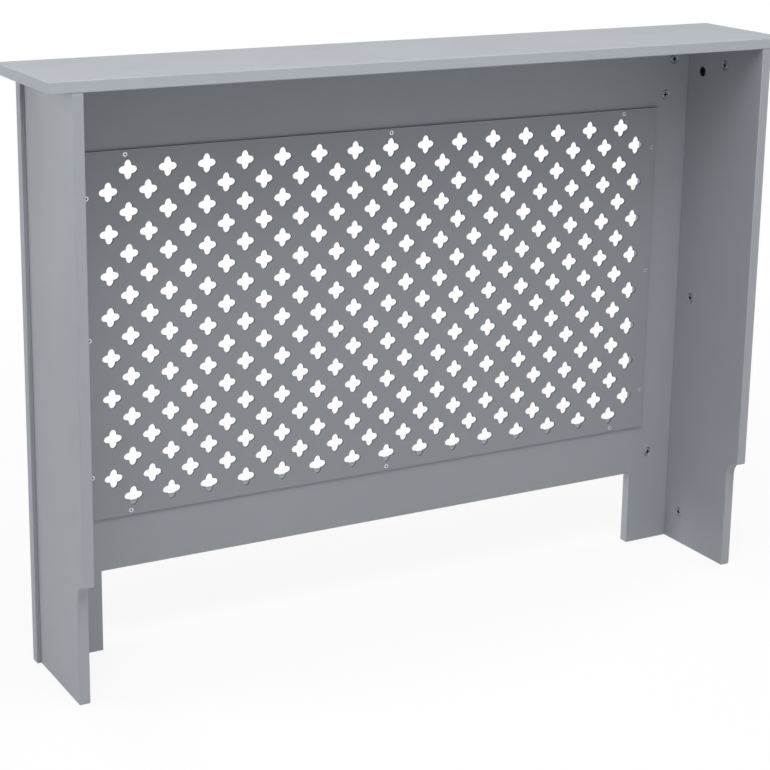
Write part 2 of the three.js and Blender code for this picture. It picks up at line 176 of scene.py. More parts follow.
RECESS_SHADE_TONE = 0.08  # how much of a metal's own tone is left in its recesses, which get painted shade
RING_SHADE = 0.8  # how much painted shade a cam's bevel gets, where 1 is as much as its recess
NOISE_SPAN = (0.3, 0.7)  # nearly all of a noise's values lie between these
WHOLE_SPAN = (0.0, 1.0)

# ---- Camera, lamps and floor ----
CAMERA_PLACE = (1.351, 2.310, 1.162)
CAMERA_AZIMUTH = 150.56
CAMERA_ELEVATION = 14.40
CAMERA_ROLL = 0.90
CAMERA_LENS = 92.9
CAMERA_SENSOR = 36.0
CAMERA_SHIFT = (0.0, -0.12)
FLOOR_HALF = 30.0
FLOOR_LIT = 0.7  # the floor's colour for the rays that light the cover
FLOOR_GLOW = 0.85  # share of the floor's white that shadows don't reach
SHADOW_REACH = (0.8, 2.4)  # the rest of the floor's white fades out between these distances
WORLD_FILL = 0.06  # how strongly the white surround lights the cover

RIGHT, BACK, UP = np.eye(3)


# ---- Shapes ----
# A shape is its points and a list of face arrays, each face a row of point numbers.
def strips(levels, around):
    """Quads between closed rings: ring after ring, `around` points each."""
    ring, step = np.meshgrid(np.arange(levels - 1), np.arange(around), indexing="ij")
    here = ring * around + step
    beside = ring * around + (step + 1) % around
    return np.stack([here, beside, beside + around, here + around], -1).reshape(-1, 4)


def stacked(levels, around):
    """Faces of a solid made of a stack of rings: its walls, its foot and its top."""
    ring = np.arange(around)
    return [strips(levels, around), ring[None, ::-1], (levels - 1) * around + ring[None]]


def placed(shape, origin, across, along):
    """The shape with its own X along `across`, its own Y along `along` and its own zero at `origin`."""
    points, faces = shape
    axes = np.stack([across, along, np.cross(across, along)])
    return points @ axes + origin, faces


def stood(shape, origin, axis):
    """The shape with its own Z along `axis`, for round pieces that may be turned either way."""
    across = UP if abs(axis @ UP) < 0.5 else RIGHT
    return placed(shape, origin, across, np.cross(axis, across))


def rings_at(outlines, heights):
    """Points of flat outlines, one for each height, as one run of rings."""
    levels, around = outlines.shape[:2]
    lift = np.broadcast_to(np.reshape(heights, (-1, 1, 1)), (levels, around, 1))
    return np.concatenate([outlines, lift], -1).reshape(-1, 3)


def ring_angles(sides, ahead=0.0):
    """Even angles of a ring's points, which may start part of a step ahead."""
    return (np.arange(sides) + ahead) * 2 * math.pi / sides


def round_outlines(radii, angle):
    """Outlines round an axis, each a row of radii at the same angles."""
    return radii[..., None] * np.stack([np.cos(angle), np.sin(angle)], -1)


def inward(outline):
    """For each point of an anticlockwise outline, the step that moves both edges there in by one.
    It is the sum of the two edges' inward normals over one plus their dot product."""
    edge = np.roll(outline, -1, 0) - outline
    edge /= np.linalg.norm(edge, axis=1, keepdims=True)
    normal = np.stack([-edge[:, 1], edge[:, 0]], -1)
    before = np.roll(normal, 1, 0)
    return (normal + before) / (1 + (normal * before).sum(1, keepdims=True))


def rectangle(width, height):
    """A rectangle's corners, anticlockwise from zero."""
    return [(0, 0), (width, 0), (width, height), (0, height)]


def square_cornered(corners, radii, steps=ROUND_STEPS):
    """An outline whose right-angled corners are quarter circles. With t over a quarter turn, a point
    is the corner, less the way in times r*(1 - sin t), plus the way out times r*(1 - cos t)."""
    corners = np.asarray(corners, float)
    way_in = corners - np.roll(corners, 1, 0)
    way_in /= np.linalg.norm(way_in, axis=1, keepdims=True)
    way_out = np.roll(way_in, -1, 0)
    t = np.linspace(0, math.pi / 2, steps + 1)[None, :, None]
    r = np.asarray(radii, float)[:, None, None]
    bent = r * (1 - np.cos(t)) * way_out[:, None] - r * (1 - np.sin(t)) * way_in[:, None]
    return (corners[:, None] + bent).reshape(-1, 2)


def four_armed(arm):
    """A closed outline of one arm and its three quarter turns, anticlockwise."""
    x, y = np.asarray(arm, float).T
    turns = [np.stack(pair, -1) for pair in ((x, y), (-y, x), (-x, -y), (y, -x))]
    return np.concatenate(turns)


def edge_levels(thickness, ease, steps=ROUND_STEPS):
    """Inset and height of each ring up a board's edge: with t over a quarter turn at each face, the
    inset is ease*(1 - sin t) and the distance from the face is ease*(1 - cos t)."""
    t = np.linspace(0, math.pi / 2, steps + 1)
    inset = ease * (1 - np.sin(t))
    height = ease * (1 - np.cos(t))
    return np.concatenate([inset, inset[::-1]]), np.concatenate([height, thickness - height[::-1]])


def slab(outline, thickness, ease):
    """A board with rounded edges: its outline is carried up its thickness through edge_levels."""
    inset, height = edge_levels(thickness, ease)
    outlines = outline + inset[:, None, None] * inward(outline)
    return rings_at(outlines, height), stacked(len(height), len(outline))


def cap(points, loops, faces_up):
    """Triangles of the flat region inside the first loop and outside the others, which all run
    anticlockwise. A triangle that fills a hole has its three corners on one loop, in that loop's
    order, so it is left out."""
    sizes = [len(loop) for loop in loops]
    numbers = np.concatenate(loops)
    loop_of = np.repeat(np.arange(len(loops)), sizes)
    start_of = np.repeat(np.cumsum([0] + sizes[:-1]), sizes)
    place = np.arange(len(numbers)) - start_of
    following = start_of + (place + 1) % np.repeat(sizes, sizes)
    edges = np.stack([np.arange(len(numbers)), following], -1).tolist()
    flat = points[numbers, :2].tolist()
    _, _, found, sources, _, _ = delaunay_2d_cdt(flat, edges, [], WHOLE_HULL, SAME_POINT)
    corners = np.array([source[0] for source in sources])[np.array(found)]
    step = place[corners]
    in_order = (step < np.roll(step, -1, 1)).sum(1) == 2
    one_loop = (loop_of[corners] == loop_of[corners[:, :1]]).all(1) & (loop_of[corners[:, 0]] > 0)
    triangles = numbers[corners[~(one_loop & in_order)]]
    return triangles if faces_up else triangles[:, ::-1]


def turned(profile, sides=ROUND_SIDES):
    """A turned solid: (radius, height) pairs from foot to head are carried round the axis. The first
    and last pair may leave a flat end, which one face closes."""
    radius, height = np.array(profile, float).T
    outlines = round_outlines(radius[:, None], ring_angles(sides, ahead=0.5))
    return rings_at(outlines, height), stacked(len(height), sides)


def threaded(profile, foot, top, core, crest, pitch):
    """A turned solid with a thread between the heights foot and top. The ridge rises from core to
    crest as a triangle wave of (height / pitch - angle / full turn), cut flat over its top third. It
    fades out over half a pitch at both ends."""
    rows = int(round((top - foot) / pitch * ROWS_PER_TURN))
    height = np.linspace(foot, top, rows + 1)
    angle = ring_angles(THREAD_SIDES, ahead=0.5)
    phase = (height[:, None] / pitch - angle[None] / (2 * math.pi)) % 1
    fade = np.clip(np.minimum(height - foot, top - height) / (0.5 * pitch), 0, 1)[:, None]
    ridge = core + (crest - core) * fade * np.clip(1.5 - 3 * np.abs(phase - 0.5), 0, 1)
    profile = np.array(profile, float)
    before = profile[profile[:, 1] < foot]
    after = profile[profile[:, 1] > top]
    below, above = [np.repeat(plain[:, :1], THREAD_SIDES, 1) for plain in (before, after)]
    outlines = round_outlines(np.concatenate([below, ridge, above]), angle)
    heights = np.concatenate([before[:, 1], height, after[:, 1]])
    return rings_at(outlines, heights), stacked(len(heights), THREAD_SIDES)


def cross_arm(reach, half):
    """One arm of a cross recess: from its corner out to a round end and back."""
    turn = np.linspace(-math.pi / 2, math.pi / 2, ARM_STEPS + 1)
    tip = np.stack([reach - half + half * np.cos(turn), half * np.sin(turn)], -1)
    return np.concatenate([[[half, -half]], tip])


def with_cross(shape, sides, reach, half, depth):
    """The solid with its flat top replaced by one that has a cross recess. The recess has a sloping
    lip, and narrows evenly from there to its floor."""
    points, faces = shape
    top = len(points) - sides
    mouth_height = points[-1, 2]
    heights = mouth_height - depth * np.array([0, RECESS_LIP, 1])
    outline = four_armed(cross_arm(reach, half))
    outlines = outline * np.reshape([RECESS_MOUTH, 1, RECESS_FLOOR], (3, 1, 1))
    around = len(outline)
    start = len(points)
    points = np.concatenate([points, rings_at(outlines, heights)])
    ring = start + np.arange(around)
    floor = (ring + 2 * around)[None]
    face = cap(points, [top + np.arange(sides), ring], True)
    return points, faces[:-1] + [start + strips(3, around), floor, face]


# ---- Pieces ----
RECESS_ARRAYS = (2, 3)  # a recess's walls and floor among the face arrays of with_cross
CAM_BEVEL_ROW = 2  # the rim's bevel among the rows of a cam's profile


def face_normals(mesh):
    """The normal of each face, one to a row."""
    normals = np.empty(len(mesh.polygons) * 3, np.float32)
    mesh.polygons.foreach_get("normal", normals)
    return normals.reshape(-1, 3)


def smooth_slopes(mesh):
    """Shades the sloping faces smooth, and leaves a board's flat faces flat."""
    sloping = np.abs(face_normals(mesh)).max(1) < FLAT
    mesh.polygons.foreach_set("use_smooth", sloping)


def mark_faces(mesh, name, values):
    """Gives each face a number under a name, which the finishes read."""
    attribute = mesh.attributes.new(name, "FLOAT", "FACE")
    attribute.data.foreach_set("value", values.astype(np.float32))


def new_object(name, shape):
    """A Blender object of a shape."""
    points, faces = shape
    mesh = bpy.data.meshes.new(name)
    mesh.from_pydata(points.tolist(), [], [face for array in faces for face in array.tolist()])
    mesh.update()
    smooth_slopes(mesh)
    piece = bpy.data.objects.new(name, mesh)
    bpy.context.scene.collection.objects.link(piece)
    return piece


def mark_recess_shade(piece, faces, ring=slice(0)):
    """Marks a cross recess's walls and floor for painted shade, and a ring of faces for nearly as much.
    """
    sizes = [len(array) for array in faces]
    dark = np.repeat(np.isin(np.arange(len(faces)), RECESS_ARRAYS), sizes).astype(float)
    dark[ring] = RING_SHADE
    mark_faces(piece.data, "recess", dark)


def finished(piece, node, material):
    """Gives a piece its material, hides the CAD node that it stands for, and hangs the piece on the
    body that carries it.
    """
    piece.data.materials.clear()
    piece.data.materials.append(material)
    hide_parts(node)
    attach(piece, "root")


def box_of(node):
    """The lowest and highest corner of a CAD node."""
    low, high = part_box(node)
    return np.array(low), np.array(high)


def long_axis(node):
    """The direction in which a CAD node is longest."""
    low, high = box_of(node)
    return np.eye(3)[np.argmax(high - low)]


def nodes_named(start):
    """The CAD nodes whose names start so, in the order of the alphabet."""
    return sorted(node for node in frame["nodes"] if node.startswith(start))


# ---- Bores ----
# The fittings are made first. Each notes its bores here, and the boards are then cut for them.
bores = []


def bore(start, end, radius):
    """Notes a round hole from `start`, on a board's surface, to its flat end."""
    bores.append((np.asarray(start, float), np.asarray(end, float), radius))


def bore_shape(start, end, radius):
    """A cylinder that cuts a bore, and starts a little outside the board."""
    axis = (end - start) / np.linalg.norm(end - start)
    length = np.linalg.norm(end - start) + OVERCUT
    cylinder = turned([(radius, 0), (radius, length)], BORE_SIDES)
    return stood(cylinder, start - OVERCUT * axis, axis)


def cut(board, shapes):
    """Cuts shapes out of a board, one after another, and keeps the result as its mesh."""
    tools = [new_object(f"{board.name}_tool_{i}", shape) for i, shape in enumerate(shapes)]
    for tool in tools:
        cutting = board.modifiers.new(tool.name, "BOOLEAN")
        cutting.operation = "DIFFERENCE"
        cutting.solver = "MANIFOLD"
        cutting.object = tool
    seen = board.evaluated_get(bpy.context.evaluated_depsgraph_get())
    mesh = bpy.data.meshes.new_from_object(seen)
    board.modifiers.clear()
    board.data = mesh
    smooth_slopes(mesh)
    for tool in tools:
        bpy.data.objects.remove(tool)


def mark_edges(board, through):
    """Marks each face that isn't one of the board's two flat faces, for the cut-edge paint and its
    painted light.
    """
    flat = np.abs(face_normals(board.data) @ np.asarray(through, np.float32)) > FACE_ON
    mark_faces(board.data, "cut_edge", ~flat)


# ---- Boards ----
def notched(depth, height):
    """A side panel's corners, from the frame to the wall and up, with its skirting notch."""
    notch = depth - NOTCH_DEPTH
    foot = [(0, 0), (notch, 0), (notch, NOTCH_HEIGHT), (depth, NOTCH_HEIGHT)]
    return foot + [(depth, height), (0, height)]


def board_outline(node, width, height, ease):
    """A board's outline seen from its face, with its corners rounded."""
    is_side = node.endswith("side_panel")
    corners = notched(width, height) if is_side else rectangle(width, height)
    radii = np.full(len(corners), ease + CORNER_ROUND)
    if is_side:
        radii[NOTCH_CORNER] = NOTCH_ROUND
    return square_cornered(corners, radii)


def make_board(node, across, along, ease, material):
    """A board whose face lies along `across` and `along`, filling its CAD node's box. It holds the
    bores that end inside it."""
    low, high = box_of(node)
    through = np.cross(across, along)
    width, height, thickness = [abs((high - low) @ axis) for axis in (across, along, through)]
    origin = np.where(through < 0, high, low)
    shape = slab(board_outline(node, width, height, ease), thickness, ease)
    board = new_object(f"painted_{node}", placed(shape, origin, across, along))
    held = [hole for hole in bores if (hole[1] > low).all() and (hole[1] < high).all()]
    cut(board, [bore_shape(*hole) for hole in held])
    mark_edges(board, through)
    finished(board, node, material)


# ---- Lattice sheet ----
# Its own X is the cover's +X, its own Y is up and its own Z is the front. The walls of its edge and of
# its holes are each points, quads and the rings that lie in the upper and in the lower face.
def outer_walls(half_width, half_height, thickness):
    """The sheet's rounded edge."""
    corners = rectangle(2 * half_width, 2 * half_height)
    radii = [SHEET_ROUND + CORNER_ROUND] * len(corners)
    outline = square_cornered(corners, radii) - [half_width, half_height]
    points, (quads, foot, top) = slab(outline, thickness, SHEET_ROUND)
    return points, quads, top, foot[:, ::-1]


def lattice_centres(half_width, half_height):
    """Every second place of a square grid, like one colour of a chessboard, inside the plain rim."""
    last_column = int((half_width - SHEET_RIM - LOBE_TIP) / HOLE_STEP)
    last_row = int((half_height - SHEET_RIM - LOBE_TIP) / HOLE_STEP)
    columns = np.arange(-last_column, last_column + 1)
    rows = np.arange(-last_row, last_row + 1)
    column, row = np.meshgrid(columns, rows)
    kept = (row + column) % 2 == 0
    return HOLE_STEP * np.stack([column[kept], row[kept]], -1)


def lobed_outline():
    """A hole with four lobes. Each lobe is half an ellipse that starts a waist out from the centre,
    is a waist wide either way there, and ends at the tip."""
    turn = np.linspace(-math.pi / 2, math.pi / 2, LOBE_STEPS + 1)[:-1]
    long_half = LOBE_TIP - LOBE_WAIST
    lobe = np.stack([LOBE_WAIST + long_half * np.cos(turn), LOBE_WAIST * np.sin(turn)], -1)
    return four_armed(lobe)


def punched(centres, outlines, heights):
    """Walls of one hole at each centre: its outline's rings from the upper face down to the lower."""
    levels, around = outlines.shape[:2]
    hole = rings_at(outlines, heights)
    middle = np.concatenate([centres, np.zeros((len(centres), 1))], 1)
    points = (middle[:, None] + hole[None]).reshape(-1, 3)
    starts = np.arange(len(centres)) * levels * around
    quads = (starts[:, None, None] + strips(levels, around)[None]).reshape(-1, 4)
    upper = starts[:, None] + np.arange(around)
    return points, quads, upper, upper + (levels - 1) * around


def lobed_walls(half_width, half_height, thickness):
    """The lattice's holes, a little wider at both faces."""
    lobed = lobed_outline()
    wider = lobed - SHEET_ROUND * inward(lobed)
    outlines = np.stack([wider, lobed, lobed, wider])
    heights = [thickness, thickness - SHEET_ROUND, SHEET_ROUND, 0]
    return punched(lattice_centres(half_width, half_height), outlines, heights)


def sunk_walls(places, thickness):
    """The screws' holes, countersunk from the lower face."""
    radii = np.array([[SCREW_BORE], [SCREW_BORE], [SCREW_SINK]])
    outlines = round_outlines(radii, ring_angles(BORE_SIDES))
    return punched(places, outlines, [thickness, SCREW_HEAD_DEPTH, 0])


def between_faces(walls):
    """A solid of several walls, the outer one first, and the two flat faces that join them."""
    points, quads, upper, lower = [], [], [], []
    first = 0
    for wall_points, wall_quads, wall_upper, wall_lower in walls:
        points.append(wall_points)
        quads.append(wall_quads + first)
        upper.extend(wall_upper + first)
        lower.extend(wall_lower + first)
        first += len(wall_points)
    points = np.concatenate(points)
    return points, quads + [cap(points, upper, True), cap(points, lower, False)]


def make_lattice(material, screw_places):
    """The sheet, with 263 lobed holes and the screws' countersunk holes."""
    low, high = box_of("lattice_panel")
    middle = (low + high) / 2
    half_width, _, half_height = (high - low) / 2
    thickness = high[1] - low[1]
    walls = [
        outer_walls(half_width, half_height, thickness),
        lobed_walls(half_width, half_height, thickness),
        sunk_walls(screw_places - [middle[0], middle[2]], thickness),
    ]
    origin = np.array([middle[0], high[1], middle[2]])
    sheet = new_object("pierced_lattice_panel", placed(between_faces(walls), origin, RIGHT, UP))
    mark_edges(sheet, BACK)
    finished(sheet, "lattice_panel", material)


# ---- Fittings ----
def cam_shape(depth, radius):
    """A cam lock from its foot to its face at height zero: a disc with an eased foot, a raised rim, a
    groove inside it, and a middle with a cross recess."""
    rim_foot = radius - CAM_RIM
    profile = [
        (radius - 2 * CAM_EASE, -depth),
        (radius, -depth + 2 * CAM_EASE),
        (radius, -CAM_BEVEL),
        (radius - CAM_BEVEL, 0),
        (rim_foot, 0),
        (rim_foot - RIM_LEAN, -CAM_GROOVE),
        (CAM_BOSS + BOSS_LEAN, -CAM_GROOVE),
        (CAM_BOSS, -CAM_EASE),
        (CAM_BOSS - CAM_EASE, 0),
    ]
    disc = turned(profile)
    return with_cross(disc, ROUND_SIDES, CAM_CROSS_REACH, CAM_CROSS_HALF, CAM_CROSS_DEPTH)


def bolt_shape():
    """A cam bolt from its thread's tip to its head, with the seam at height zero."""
    tip = -THREAD_LENGTH
    head_foot = CAM_REACH - HEAD_HALF
    head_top = CAM_REACH + HEAD_HALF
    profile = [
        (BOLT_TIP * BOLT_CORE, tip),
        (BOLT_CORE, tip + BOLT_TAPER * BOLT_CORE),
        (SHANK_RADIUS - SHANK_EASE, SHANK_EASE),
        (SHANK_RADIUS, 2 * SHANK_EASE),
        (SHANK_RADIUS, head_foot - 2 * SHANK_RADIUS),
        (NECK_RADIUS, head_foot - SHANK_RADIUS),
        (NECK_RADIUS, head_foot),
        (SHANK_RADIUS, head_foot + SHANK_RADIUS - NECK_RADIUS),
        (SHANK_RADIUS, head_top - HEAD_EASE),
        (SHANK_RADIUS - HEAD_EASE, head_top),
    ]
    thread_foot = tip + BOLT_POINT
    return threaded(profile, thread_foot, THREAD_PAST_SEAM, BOLT_CORE, BOLT_CREST, BOLT_PITCH)


def screw_shape(length):
    """A countersunk screw from its point to its head's face at height zero, with a cross recess."""
    tip = -length
    neck = -SCREW_HEAD_DEPTH - SCREW_NECK
    profile = [
        (SCREW_TIP, tip),
        (SCREW_CORE, neck),
        (SCREW_HEAD_RADIUS - HEAD_RIM_UNDER, -HEAD_RIM_FOOT),
        (SCREW_HEAD_RADIUS, -HEAD_RIM_CREST),
        (SCREW_HEAD_RADIUS - HEAD_RIM_OVER, 0),
    ]
    thread_foot = tip + SCREW_POINT
    shaft = threaded(profile, thread_foot, neck - SCREW_NECK, SCREW_CORE, SCREW_CREST, SCREW_PITCH)
    return with_cross(shaft, THREAD_SIDES, SCREW_CROSS_REACH, SCREW_CROSS_HALF, SCREW_CROSS_DEPTH)


def dowel_shape(length):
    """A fluted dowel: the radius falls by the flute depth in a cosine wave round the axis, and both
    ends are eased."""
    angle = ring_angles(SIDES_PER_FLUTE * DOWEL_FLUTES)
    wave = 0.5 - 0.5 * np.cos(DOWEL_FLUTES * angle)
    taken_off, way_in = DOWEL_EASE * np.array(DOWEL_END).T
    narrowing = np.concatenate([taken_off, taken_off[::-1]])
    heights = np.concatenate([way_in, length - way_in[::-1]])
    radii = DOWEL_RADIUS - FLUTE_DEPTH * wave - narrowing[:, None]
    return rings_at(round_outlines(radii, angle), heights), stacked(len(heights), len(angle))


def make_cam(name, material):
    """A cam lock and its bore. A side panel's cams look in, and a stile's look back. The cam's middle
    is returned, for its bolt."""
    node = f"cam_lock_{name}"
    low, high = box_of(node)
    middle = (low + high) / 2
    looks = -np.sign(middle[0]) * RIGHT if "_side_" in name else BACK
    depth = abs((high - low) @ looks)
    radius = abs((high - low) @ UP) / 2
    face = middle + looks * depth / 2
    points, faces = stood(cam_shape(depth, radius), face, looks)
    cam = new_object(f"cam_{name}", (points, faces))
    # painted shade in the cross recess, and nearly as much on the rim's bevel
    mark_recess_shade(cam, faces, slice(CAM_BEVEL_ROW * ROUND_SIDES, (CAM_BEVEL_ROW + 1) * ROUND_SIDES))
    bore(face + CAM_SUNK * looks, face - (depth + CAM_SPARE) * looks, radius + CAM_GAP)
    finished(cam, node, material)
    return middle


def make_bolt(name, cam_middle, material):
    """A bolt from the thread in one board to the head in the cam, with its bores in both boards."""
    node = f"bolt_{name}"
    low, high = box_of(node)
    middle = (low + high) / 2
    axis = long_axis(node)
    axis = axis * np.sign((cam_middle - middle) @ axis)
    tip = middle - axis * abs((high - low) @ axis) / 2
    seam = tip + THREAD_LENGTH * axis
    bolt = new_object(f"threaded_{node}", stood(bolt_shape(), seam, axis))
    bore(seam, seam + CAM_REACH * axis, BOLT_BORE)
    bore(seam, tip - HOLE_SPARE * axis, PILOT_BORE)
    finished(bolt, node, material)


def make_dowel(node, material):
    """A dowel, with its bores in both boards."""
    low, high = box_of(node)
    axis = long_axis(node)
    length = (high - low) @ axis
    foot = (low + high) / 2 - axis * length / 2
    top = foot + axis * length
    dowel = new_object(f"fluted_{node}", stood(dowel_shape(length), foot, axis))
    bore(foot, top + HOLE_SPARE * axis, DOWEL_BORE)
    bore(top, foot - HOLE_SPARE * axis, DOWEL_BORE)
    finished(dowel, node, material)


def make_screw(node, sheet_front, material):
    """A screw through the sheet into the board behind it. Its place on the sheet is returned."""
    low, high = box_of(node)
    across, _, up = (low + high) / 2
    points, faces = placed(screw_shape(high[1] - low[1]), [across, high[1], up], -RIGHT, UP)
    screw = new_object(f"cross_{node}", (points, faces))
    # painted shade in the cross recess
    mark_recess_shade(screw, faces)
    bore([across, sheet_front, up], [across, low[1] - HOLE_SPARE, up], SCREW_BORE)
    finished(screw, node, material)
    return [across, up]


# ---- Shader nodes ----
MIX_SHARE, MIX_FIRST, MIX_SECOND, MIX_RESULT = 0, 6, 7, 2  # a Mix node's sockets for colours


def set_inputs(tree, made, inputs):
    """Sets a shader node's inputs, each by its name or number. Each gets a plain value, or a link to
    another node's output."""
    for socket, value in inputs.items():
        if isinstance(value, bpy.types.NodeSocket):
            tree.links.new(value, made.inputs[socket])
        else:
            made.inputs[socket].default_value = value


def add_node(tree, kind, inputs, **settings):
    """A shader node with its settings and inputs."""
    made = tree.nodes.new(kind)
    for name, value in settings.items():
        setattr(made, name, value)
    set_inputs(tree, made, inputs)
    return made


def new_material(name):
    """A material, its nodes, its shader and the object's own coordinates."""
    material = bpy.data.materials.new(name)
    material.use_nodes = True
    tree = material.node_tree
    shader = tree.nodes["Principled BSDF"]
    place = add_node(tree, "ShaderNodeTexCoord", {}).outputs["Object"]
    return material, tree, shader, place


def marked(tree, name):
    """The number that the faces carry under a name."""
    return add_node(tree, "ShaderNodeAttribute", {}, attribute_name=name).outputs["Fac"]


def noise(tree, place, waves, detail=2.0, roughness=0.5):
    """A noise's value at so many waves a metre."""
    inputs = {"Vector": place, "Scale": waves, "Detail": detail, "Roughness": roughness}
    return add_node(tree, "ShaderNodeTexNoise", inputs).outputs["Fac"]


def spread(tree, value, ends=WHOLE_SPAN, span=NOISE_SPAN, curve="LINEAR"):
    """A number from one end to the other, as the value crosses the span."""
    sockets = ("Value", "From Min", "From Max", "To Min", "To Max")
    inputs = dict(zip(sockets, (value, *span, *ends)))
    return add_node(tree, "ShaderNodeMapRange", inputs, interpolation_type=curve).outputs["Result"]


def times(tree, first, second):
    """The product of two numbers."""
    return add_node(tree, "ShaderNodeMath", {0: first, 1: second}, operation="MULTIPLY").outputs[0]


def plus(tree, first, second):
    """The sum of two numbers, and no more than one."""
    inputs = {0: first, 1: second}
    return add_node(tree, "ShaderNodeMath", inputs, operation="ADD", use_clamp=True).outputs[0]


def scaled(colour, factor):
    """A colour times a number, as a socket takes it."""
    return [channel * factor for channel in colour] + [1.0]


def grey(level):
    """A grey from 0 for black to 1 for white."""
    return (level, level, level, 1.0)


def mixed(tree, share, first, second):
    """The first colour where the share is 0, and the second where it is 1."""
    inputs = {MIX_SHARE: share, MIX_FIRST: first, MIX_SECOND: second}
    return add_node(tree, "ShaderNodeMix", inputs, data_type="RGBA").outputs[MIX_RESULT]


def toned(tree, share, colour, tones):
    """A colour that goes from one tone to the other with the share."""
    return mixed(tree, share, scaled(colour, tones[0]), scaled(colour, tones[1]))


def bump(tree, height, depth, strength, over=None):
    """The normals of a pattern this deep, laid over those of another bump."""
    inputs = {"Height": height, "Distance": depth, "Strength": strength}
    if over is not None:
        inputs["Normal"] = over
    return add_node(tree, "ShaderNodeBump", inputs).outputs["Normal"]


# ---- Materials ----
def paint(name, colour, edge_tone_and_light):
    """Satin paint on fibreboard: a faint cloudiness, fine orange peel, and on cut edges a coarser,
    duller coat of its own tone, which is also painted light: a paler edge stands in for light on
    it, and a darker one for shade."""
    material, tree, shader, place = new_material(name)
    edge = marked(tree, "cut_edge")
    cloud = spread(tree, noise(tree, place, waves=5.0, detail=3.0))
    fleck = spread(tree, noise(tree, place, waves=900.0))
    haze = spread(tree, noise(tree, place, waves=14.0, detail=3.0), PAINT_ROUGH)
    body = toned(tree, cloud, colour, PAINT_TONES)
    flecked = mixed(tree, times(tree, fleck, PAINT_FLECK_SHARE), body, scaled(colour, PAINT_FLECK))
    peel_height = noise(tree, place, waves=420.0, roughness=0.4)
    peel = bump(tree, peel_height, depth=0.08 * MM, strength=0.35)
    fibre_height = noise(tree, place, waves=1500.0, detail=4.0, roughness=0.65)
    fibre_strength = plus(tree, FIBRE_STRENGTH, times(tree, edge, FIBRE_EDGE_STRENGTH))
    set_inputs(tree, shader, {
        # cut edges take their own tone, which is partly painted light and shade
        "Base Color": mixed(tree, times(tree, edge, EDGE_SHARE), flecked, scaled(colour, edge_tone_and_light)),
        "Roughness": plus(tree, haze, times(tree, edge, PAINT_EDGE_ROUGH)),
        "Normal": bump(tree, fibre_height, depth=0.08 * MM, strength=fibre_strength, over=peel),
        "Specular IOR Level": spread(tree, edge, PAINT_GLOSS, WHOLE_SPAN),
    })
    return material


def painted_recess_shade(tree, skin, colour):
    """A metal's skin with painted shade, dark where a face is marked as part of a recess."""
    return mixed(tree, marked(tree, "recess"), skin, scaled(colour, RECESS_SHADE_TONE))


def cast_zinc(name, colour):
    """Dull die-cast zinc: cloudy grey with a grainy skin, and painted shade in its recesses."""
    material, tree, shader, place = new_material(name)
    cloud = spread(tree, noise(tree, place, waves=260.0, detail=4.0))
    grain = noise(tree, place, waves=2600.0, detail=3.0, roughness=0.6)
    set_inputs(tree, shader, {
        "Base Color": painted_recess_shade(tree, toned(tree, cloud, colour, ZINC_TONES), colour),
        "Roughness": spread(tree, noise(tree, place, waves=600.0, detail=3.0), ZINC_ROUGH),
        "Normal": bump(tree, grain, depth=0.05 * MM, strength=0.5),
        "Metallic": ZINC_METAL,
    })
    return material


def plated(name, colour):
    """Zinc-plated steel: fine scuffs and a slight change of tone, and painted shade in its recesses."""
    material, tree, shader, place = new_material(name)
    cloud = spread(tree, noise(tree, place, waves=320.0, detail=3.0))
    set_inputs(tree, shader, {
        "Base Color": painted_recess_shade(tree, toned(tree, cloud, colour, STEEL_TONES), colour),
        "Roughness": spread(tree, noise(tree, place, waves=1500.0), STEEL_ROUGH),
        "Metallic": STEEL_METAL,
    })
    return material


def beech_wood(name, colour):
    """Bare beech: fine dark flecks on pale wood."""
    material, tree, shader, place = new_material(name)
    fleck = spread(tree, noise(tree, place, waves=1400.0, detail=3.0))
    set_inputs(tree, shader, {
        "Base Color": toned(tree, fleck, colour, BEECH_TONES),
        "Roughness": spread(tree, noise(tree, place, waves=700.0), BEECH_ROUGH),
        "Normal": bump(tree, fleck, depth=0.06 * MM, strength=0.3),
    })
    return material


# ---- Stage ----
def seen_directly(tree):
    """One for camera, glossy and transmission rays, and nought for the rays that light things."""
    path = add_node(tree, "ShaderNodeLightPath", {}).outputs
    straight = plus(tree, path["Is Camera Ray"], path["Is Glossy Ray"])
    return plus(tree, straight, path["Is Transmission Ray"])


def mixed_shaders(tree, share, first, second):
    """The first shader where the share is 0, and the second where it is 1."""
    return add_node(tree, "ShaderNodeMixShader", {0: share, 1: first, 2: second}).outputs[0]


def floor_material():
    """White floor: part of its white glows for the camera, and the rest is lit and takes shadows."""
    material, tree, shader, place = new_material("white_floor")
    tree.nodes.remove(shader)
    lit = add_node(tree, "ShaderNodeBsdfDiffuse", {"Color": grey(FLOOR_LIT)}).outputs[0]
    bright = add_node(tree, "ShaderNodeBsdfDiffuse", {"Color": grey(1.0)}).outputs[0]
    glow = add_node(tree, "ShaderNodeEmission", {"Color": grey(1.0), "Strength": 1.0}).outputs[0]
    away = add_node(tree, "ShaderNodeVectorMath", {0: place}, operation="LENGTH").outputs["Value"]
    share = spread(tree, away, (FLOOR_GLOW, 1.0), SHADOW_REACH, "SMOOTHSTEP")
    white = mixed_shaders(tree, share, bright, glow)
    surface = mixed_shaders(tree, seen_directly(tree), lit, white)
    set_inputs(tree, tree.nodes["Material Output"], {"Surface": surface})
    return material


def make_floor():
    """A square floor round the cover's foot."""
    corners = np.array([(-1, -1, 0), (1, -1, 0), (1, 1, 0), (-1, 1, 0)], float) * FLOOR_HALF
    floor = new_object("floor", (corners, [np.array([[0, 1, 2, 3]])]))
    floor.data.materials.append(floor_material())


